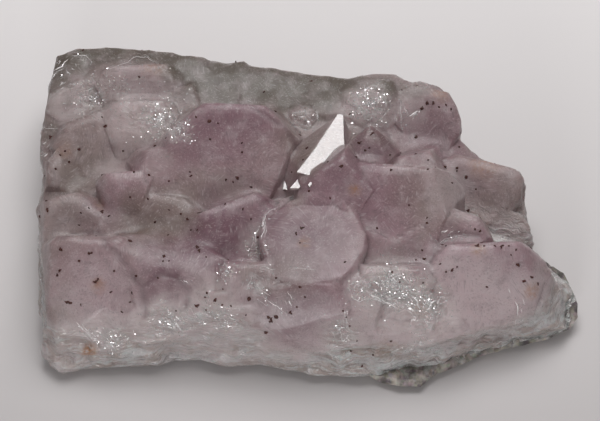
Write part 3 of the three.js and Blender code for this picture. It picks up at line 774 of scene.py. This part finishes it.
def makeSpecks():
    chance = random.Random(ironSpecks["seed"])
    build = bmesh.new()
    for kind, spots in speckSpots.items():
        for u, v in spots:
            place, normal = spotAt(amethystTree, u, v)
            if place is None:
                print("speck off the quartz", u, v)
                continue
            addSpeck(build, kind, place, normal, chance)
    made = 0
    while made < ironSpecks["elsewhere"]:
        # looks in from a random side, and keeps what the photo's view doesn't reach
        around, up = chance.uniform(0, 2 * math.pi), chance.uniform(0.05, 1.2)
        away = Vector((math.cos(around) * math.cos(up), math.sin(around) * math.cos(up), math.sin(up)))
        target = Vector((chance.uniform(-46, 46), chance.uniform(-28, 28), chance.uniform(3, 20))) * mm
        place, normal, face, reach = amethystTree.ray_cast(target + away * 0.2, -away)
        if place is None or place.z < ironSpecks["lowest"]:
            continue
        seen = amethystTree.ray_cast(camera.location, (place - camera.location).normalized())[0]
        if seen is not None and (seen - place).length < ironSpecks["hidden"]:
            continue
        addSpeck(build, chance.choice(("small", "small", "small", "large", "forked")), place, normal, chance)
        made += 1
    finishPiece(build, "ironSpecks", ironMaterial())


makeSpecks()
print("specks placed")

fractureGlints = {
    "perSquareMm": 14,  # flakes in the thick of a crumbled zone
    "perMm": 3.5,  # flakes along a crack
    "besideCrack": 4,  # pixels
    "crackWidth": 0.9,  # share of the width in its row below
    "strands": 4,  # finer cracks beside a crack that is wider than the next value, and one beside the others
    "strandsFrom": 0.21,
    "wander": 2.5,  # pixels, how far a crack strays from its row
    "size": (0.06 * mm, 0.24 * mm),
    "seed": 5,
}


def addFlake(build, place, normal, size, chance):
    # a small splinter, standing out of the surface at any tilt
    tilt = Vector((chance.gauss(0, 1), chance.gauss(0, 1), chance.gauss(0, 1))).normalized()
    flat = (normal * 1.1 + tilt).normalized()
    side = flat.cross(Vector((0.31, 0.77, 0.56))).normalized()
    turn = chance.uniform(0, 2 * math.pi)
    corners = []
    for k in range(3):
        arm = Quaternion(flat, turn + k * 2.1 + chance.uniform(-0.3, 0.3)) @ side
        reach = arm * (size * chance.uniform(0.6, 1.3))
        corners.append(build.verts.new(place + reach + normal * (0.05 * mm)))
    foot = build.verts.new(place - flat * (size * 0.6))
    build.faces.new(corners)
    for k in range(3):
        build.faces.new((corners[(k + 1) % 3], corners[k], foot))


def glintMaterial():
    # Fresh fracture: splinters of clear quartz, which mirror the whole light where air gets behind them
    # and stay grey where they turn away from it.
    material, tree = newMaterial("fractured quartz")
    white = linearColour("#f6f4f4")
    finishMaterial(tree, {"Base Color": white, "Metallic": 0.5, "Roughness": 0.15, "IOR": quartzIor})
    return material


def crackMaterial():
    # Air in an open crack: a soft white line, which the glossy rim of the crack catches here and there.
    material, tree = newMaterial("open crack")
    finishMaterial(tree, {"Base Color": linearColour("#fffbfb"), "Roughness": 0.3, "IOR": quartzIor})
    return material


# Bright cracks and bruised edges: width in millimetres, then a row of pixels.
crackLines = [
    (0.4, [(48, 78), (57, 70), (68, 60)]), (0.3, [(67, 70), (71, 75)]), (0.25, [(59, 85), (64, 82)]),
    (0.16, [(42, 128), (60, 129)]), (0.3, [(41, 155), (46, 152)]), (0.16, [(72, 57), (85, 57), (92, 62)]),
    (0.14, [(101, 70), (115, 66), (128, 61), (137, 57), (148, 57), (156, 64), (168, 72)]),
    (0.3, [(317, 113), (318, 118), (320, 119)]), (0.16, [(288, 120), (295, 113), (304, 111), (311, 116)]),
    (0.25, [(299, 117), (303, 117)]), (0.3, [(306, 121), (309, 124)]), (0.2, [(247, 100), (253, 103)]),
    (0.16, [(403, 104), (404, 111), (409, 116)]), (0.42, [(409, 116), (414, 115), (418, 112)]),
    (0.14, [(401, 96), (401, 112), (401, 127), (408, 128)]), (0.2, [(364, 86), (366, 100)]),
    (0.2, [(384, 98), (388, 108)]), (0.2, [(386, 112), (381, 121)]), (0.16, [(364, 110), (370, 113)]),
    (0.22, [(76, 322), (82, 330), (92, 337), (104, 344)]), (0.28, [(107, 340), (112, 346), (117, 350)]),
    (0.2, [(132, 337), (134, 328)]), (0.24, [(265, 213), (263, 225), (262, 240)]),
    (0.28, [(258, 226), (256, 238), (254, 247)]), (0.18, [(264, 216), (270, 211), (278, 207)]),
    (0.16, [(262, 266), (270, 268), (276, 270)]), (0.16, [(294, 269), (305, 268), (315, 271)]),
    (0.18, [(251, 275), (250, 283), (246, 291)]), (0.14, [(255, 283), (262, 291), (269, 296)]),
    (0.14, [(262, 296), (275, 305), (285, 312)]), (0.24, [(288, 300), (291, 305)]),
    (0.18, [(183, 279), (188, 284)]), (0.16, [(351, 293), (355, 286), (362, 281), (371, 282), (379, 286)]),
    (0.16, [(352, 297), (360, 301), (369, 298), (377, 293)]),
    (0.34, [(371, 293), (379, 299), (388, 303), (396, 307)]),
    (0.2, [(393, 278), (400, 275), (406, 279), (410, 286)]), (0.36, [(411, 298), (417, 304), (420, 309)]),
    (0.42, [(427, 310), (431, 304), (437, 300)]), (0.2, [(424, 318), (428, 325)]),
    (0.22, [(338, 326), (341, 335), (342, 343)]), (0.2, [(344, 308), (346, 318), (348, 327)]),
    (0.14, [(434, 250), (438, 243), (446, 237), (458, 236), (472, 234)]),
    (0.3, [(516, 301), (518, 309), (517, 315)]), (0.16, [(516, 318), (515, 325)]),
    (0.16, [(323, 349), (334, 357), (346, 362)]), (0.3, [(395, 350), (400, 349)]),
    (0.3, [(239, 354), (245, 356)]),
    (0.34, [(176, 323), (180, 329), (184, 333)]), (0.18, [(157, 325), (166, 327), (174, 330)]),
    (0.24, [(443, 231), (447, 229)]), (0.2, [(219, 313), (222, 322)]), (0.2, [(228, 317), (236, 320)]),
]


def addCrack(build, places, width, chance):
    # a sliver that rides along the surface, thick in the middle and gone at both ends
    rings = []
    for i, (place, normal) in enumerate(places):
        before, after = places[max(0, i - 1)][0], places[min(len(places) - 1, i + 1)][0]
        along = (after - before).normalized()
        across = along.cross(normal).normalized()
        t = i / (len(places) - 1)
        half = width * mm / 2 * math.sin(math.pi * (0.12 + 0.76 * t)) * chance.uniform(0.55, 1.3)
        centre = place + across * (half * chance.uniform(-0.6, 0.6)) - normal * (0.03 * mm)
        reaches = (across * half, normal * (half * 0.7 + 0.05 * mm), -across * half, -normal * half)
        rings.append([build.verts.new(centre + reach) for reach in reaches])
    ends = [build.faces.new(rings[0]), build.faces.new(rings[-1][::-1])]
    for face in ends + joinRings(build, rings):
        face.material_index = 1  # open crack


# The fresh face that the window catches, and chips below it that are level with it: corners in pixels.
brightFacets = [
    [
        (338, 114), (343, 115), (344, 144), (336, 148), (331, 153), (318, 170), (309, 175), (297, 172),
        (316, 147),
    ],
    [(290, 188), (303, 173), (302, 185), (299, 188)],
    [(283, 189), (285, 178), (288, 184), (287, 190)],
    [(308, 185), (311, 180), (313, 180), (310, 187)],
]


def brightFace():
    # the middle and the direction of the face that the window catches
    spots = [spotAt(amethystTree, u, v) for u, v in ((330, 132), (334, 140), (326, 148), (320, 156))]
    place = sum((spot[0] for spot in spots), Vector()) / len(spots)
    return place, sum((spot[1] for spot in spots), Vector()).normalized()


def makeBrightFacets():
    # thin plates of clean quartz that stand a hair above the crystals, and are level with the bright face
    build = bmesh.new()
    level = brightFace()[1]
    for corners in brightFacets:
        middle = [sum(axis) / len(corners) for axis in zip(*corners)]
        place, normal = spotAt(amethystTree, *middle)
        place = place + level * (0.08 * mm)
        top = []
        for u, v in corners:
            ray = pixelRay(u, v)
            top.append(camera.location + ray * ((place - camera.location).dot(level) / ray.dot(level)))
        upper = [build.verts.new(p) for p in top]
        lower = [build.verts.new(p - level * (0.8 * mm)) for p in top]
        build.faces.new(upper)
        build.faces.new(lower[::-1])
        for k in range(len(top)):
            build.faces.new((upper[k - 1], upper[k], lower[k], lower[k - 1]))
    material = amethystMaterial("fresh quartz facet", gloss=1.0, roughness=0.5, glow=2)
    piece = finishPiece(build, "brightFacets", material)


makeBrightFacets()
print("bright facets placed")


def makeGlints():
    settings = fractureGlints
    chance = random.Random(settings["seed"])
    build = bmesh.new()
    for u, v, reach, strength in quartzZones["crumbled"]:
        for _ in range(round(math.pi * reach * reach * settings["perSquareMm"] * strength)):
            far = min(1.6, abs(chance.gauss(0, 0.75))) * reach * pixelsPerMm
            turn = chance.uniform(0, 2 * math.pi)
            place, normal = spotAt(amethystTree, u + far * math.cos(turn), v + far * 0.9 * math.sin(turn))
            if place is None or noise.noise(place / (1.3 * mm)) < chance.uniform(-0.4, 0.2):
                continue
            size = chance.uniform(*settings["size"]) * chance.choice((0.6, 1, 1))
            addFlake(build, place, normal, size, chance)
    for width, row in crackLines:
        strands = settings["strands"] if width > settings["strandsFrom"] else 1
        width *= settings["crackWidth"]
        places = rowAlong(amethystTree, row, 1.6, settings["wander"])
        if len(places) > 2:
            addCrack(build, places, width, chance)
        # shorter and finer cracks run beside it
        for _ in range(strands):
            du, dv = (chance.gauss(0, settings["besideCrack"]) for axis in (0, 1))
            places = rowAlong(amethystTree, [(u + du, v + dv) for u, v in row], 1.6, settings["wander"])
            first = chance.randrange(max(1, len(places) // 2))
            places = places[first:first + max(4, len(places) // 2)]
            if len(places) > 2:
                addCrack(build, places, width * chance.uniform(0.4, 0.7), chance)
        for (u0, v0), (u1, v1) in zip(row, row[1:]):
            for _ in range(round(math.hypot(u1 - u0, v1 - v0) / pixelsPerMm * settings["perMm"])):
                share = chance.random()
                du, dv = (chance.gauss(0, settings["besideCrack"]) for axis in (0, 1))
                u, v = u0 + (u1 - u0) * share + du, v0 + (v1 - v0) * share + dv
                place, normal = spotAt(amethystTree, u, v)
                if place is not None:
                    addFlake(build, place, normal, chance.uniform(*settings["size"]), chance)
    piece = finishPiece(build, "fractureGlints", glintMaterial())
    piece.data.materials.append(crackMaterial())


makeGlints()
print("glints placed")

# Splinters that lie every way in the crumbled places.
quartzSplinters = {
    "perSquareMm": 2.5,
    "length": (0.1 * mm, 0.32 * mm),  # half length, from and to
    "seed": 17,
}


def addSplinter(build, tints, place, normal, along, half, wide, tint, chance):
    # a flat sliver, sunk into the surface for most of its depth
    across = along.cross(normal).normalized()
    tilt = Quaternion(along, chance.uniform(-0.3, 0.3)) @ Quaternion(across, chance.uniform(-0.12, 0.12))
    out, across = tilt @ normal, tilt @ across
    middle = place - normal * (wide * 0.2)
    rings = []
    for t in (-0.55, 0.5):
        centre = middle + along * (half * (t + chance.uniform(-0.2, 0.2)))
        centre += across * (wide * chance.uniform(-0.3, 0.3))
        size = wide * chance.uniform(0.7, 1.2)
        rings.append([build.verts.new(centre + across * (x * size) + out * (y * size))
                      for x, y in ((-1, -0.25), (-0.55, 0.25), (0.6, 0.2), (1, -0.25))])
    start, end = build.verts.new(middle - along * half), build.verts.new(middle + along * half)
    low, high = rings
    corners = [(low[k], low[k + 1], high[k + 1], high[k]) for k in range(3)]
    corners += [(low[k + 1], low[k], start) for k in range(3)]
    corners += [(high[k], high[k + 1], end) for k in range(3)]
    corners.append((low[0], high[0], end, high[3], low[3], start))
    for face in corners:
        build.faces.new(face)
    for vertex in low + high + [start, end]:
        vertex[tints] = tint


def splinterMaterial():
    # Splintered quartz: opaque with its own breaks, in white to grey slivers with half-glossy flats.
    material, tree = newMaterial("splintered quartz")
    tint = addNode(tree, "Attribute", {"attribute_name": "tint"}).outputs["Fac"]
    ramp = addNode(tree, "ValToRGB", links={"Fac": tint})
    ramp.color_ramp.elements[0].color = linearColour("#aa9f98")
    ramp.color_ramp.elements[1].color = linearColour("#efe7e4")
    ramp.color_ramp.elements.new(0.5).color = linearColour("#c9bfba")
    finishMaterial(tree, {"IOR": quartzIor, "Roughness": 0.32}, {"Base Color": ramp.outputs[0]})
    return material


def makeSplinters():
    settings = quartzSplinters
    chance = random.Random(settings["seed"])
    build = bmesh.new()
    tints = build.verts.layers.float.new("tint")
    mesh = amethystPiece.data
    crumbled = numpy.empty(len(mesh.vertices), dtype=numpy.float32)
    mesh.attributes["crumbled"].data.foreach_get("value", crumbled)
    for face in mesh.polygons:
        likely = face.area / mm ** 2 * settings["perSquareMm"] * float(crumbled[face.vertices[0]])
        if chance.random() < likely:
            place, normal = face.center.copy(), face.normal.copy()
            side = normal.cross(Vector((0.3, 1, 0.2))).normalized()
            along = Quaternion(normal, chance.uniform(0, math.pi)) @ side
            half = chance.uniform(*settings["length"])
            addSplinter(build, tints, place, normal, along, half, half * chance.uniform(0.5, 0.9),
                        chance.uniform(0.1, 0.8), chance)
    piece = finishPiece(build, "quartzSplinters", splinterMaterial())


makeSplinters()
print("splinters placed")

hostRock = {
    "gridDepth": 7,
    "gridFill": 0.9,
    "relief": 0.35 * mm,
    "flatFoot": 0.4 * mm,  # no lumps below this
    "fullRelief": 1.6 * mm,  # and all of them above this
    "rest": 0.02 * mm,  # the flat underside, a hair above the card
    "hardEdge": 35,  # degrees
}


def makeRock():
    settings = hostRock
    piece = copyNode("host_rock", "hostRock", settings)
    mesh = piece.data
    points, normals = pointsOf(mesh), normalsOf(mesh)
    t = (points[:, 2] - settings["flatFoot"]) / (settings["fullRelief"] - settings["flatFoot"])
    t = numpy.clip(t, 0, 1)
    places = map(Vector, points)
    lumps = [noise.noise(p / (2.6 * mm)) * 0.7 + noise.noise(p / (1.2 * mm)) * 0.4 for p in places]
    relief = numpy.array(lumps) * settings["relief"] * t * t * (3 - 2 * t)
    points = points + normals * relief[:, None]
    points[:, 2] = numpy.maximum(points[:, 2], settings["rest"])
    setPoints(mesh, points)
    shadeSmooth(piece, settings["hardEdge"])
    mesh.materials.append(rockMaterial())
    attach(piece, "root")
    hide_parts("host_rock")


def rockMaterial():
    # Weathered volcanic rock: dull grey-brown, with dark pits and paler grains.
    material, tree = newMaterial("weathered basalt")
    place = addNode(tree, "TexCoord").outputs["Object"]
    patches = noiseAt(tree, place, 1 / (2.2 * mm), 5, 0.65)
    grains = addNode(tree, "TexVoronoi", inputs={"Scale": 1 / (0.7 * mm)}, links={"Vector": place})
    ramp = addNode(tree, "ValToRGB", links={"Fac": patches})
    ramp.color_ramp.elements[0].position, ramp.color_ramp.elements[0].color = 0.36, linearColour("#5f5857")
    ramp.color_ramp.elements[1].position, ramp.color_ramp.elements[1].color = 0.62, linearColour("#bcb4ad")
    colour = mixed(tree, ramp.outputs[0], grains.outputs["Color"], 0.15, "MULTIPLY")
    bump = addNode(tree, "Bump", inputs={"Distance": 0.2 * mm, "Strength": 0.7}, links={"Height": patches})
    finishMaterial(tree, {"Roughness": 0.9}, {"Base Color": colour, "Normal": bump.outputs[0]})
    return material


makeRock()
print("rock dressed")

studio = {
    "cardSize": 3,  # m
    "cardBackLit": "#f4f0f0",  # painted light falloff: the card is lighter towards the back and darker in front
    "cardFrontShaded": "#c6c1c1",
    "paintedFalloffEnd": 70 * mm,  # from the middle to where the painted falloff stops, in front and behind
    "dome": 0.18,
    "panelSize": 240 * mm,
    "panelPower": 0.83,  # W, the soft light close above, which leaves the front of the card darker
    "panelPlace": Vector((25, 135, 330)) * mm,
    "fillSize": 140 * mm,
    "fillPower": 0.74,  # low in front, so that it reaches the broken side more than the card
    "fillPlace": Vector((-60, -440, 100)) * mm,
    "windowSize": 150 * mm,
    "windowRadiance": 6.3,  # W per square metre and steradian
    "windowDistance": 1200 * mm,
}


def makeCard():
    # White card: plain and dull, with a painted light falloff that fades it towards the front.
    # White card: plain and dull, graded so that it fades towards the front as the photo's does.
    bpy.ops.mesh.primitive_plane_add(size=studio["cardSize"], location=(0, 0, 0))
    floor = bpy.context.object
    floor.name = "floor"
    material, tree = newMaterial("white card")
    place = addNode(tree, "SeparateXYZ", links={0: addNode(tree, "TexCoord").outputs["Object"]})
    paintedFalloff = ranged(tree, place.outputs["Y"], -studio["paintedFalloffEnd"], studio["paintedFalloffEnd"])
    colour = mixed(tree, studio["cardFrontShaded"], studio["cardBackLit"], paintedFalloff)
    finishMaterial(tree, {"Roughness": 0.9}, {"Base Color": colour})
    floor.data.materials.append(material)


def addLamp(name, power, place, way):
    # a square soft light, which shines against the way it is given
    light = bpy.data.lights.new(name, "AREA")
    light.shape = "SQUARE"
    light.size, light.energy = studio[name + "Size"], power
    lamp = bpy.data.objects.new(name, light)
    scene.collection.objects.link(lamp)
    lamp.location = place
    lamp.rotation_mode = "QUATERNION"
    lamp.rotation_quaternion = way.to_track_quat("Z", "Y")


def makeLights():
    world = bpy.data.worlds.new("studio")
    scene.world = world
    world.use_nodes = True
    dome = studio["dome"]
    world.node_tree.nodes["Background"].inputs["Color"].default_value = (dome, dome * 0.985, dome * 0.985, 1)
    # the window hangs where the bright face of the cluster mirrors it to the camera
    place, normal = brightFace()
    back = (place - camera.location).normalized()
    way = (back - normal * (2 * back.dot(normal))).normalized()
    power = studio["windowRadiance"] * math.pi * studio["windowSize"] ** 2
    addLamp("window", power, place + way * studio["windowDistance"], way)
    for name in ("panel", "fill"):
        addLamp(name, studio[name + "Power"], studio[name + "Place"], studio[name + "Place"])


makeCard()
makeLights()
scene.view_settings.view_transform = "Standard"
scene.cycles.use_denoising = True
print("studio lit")
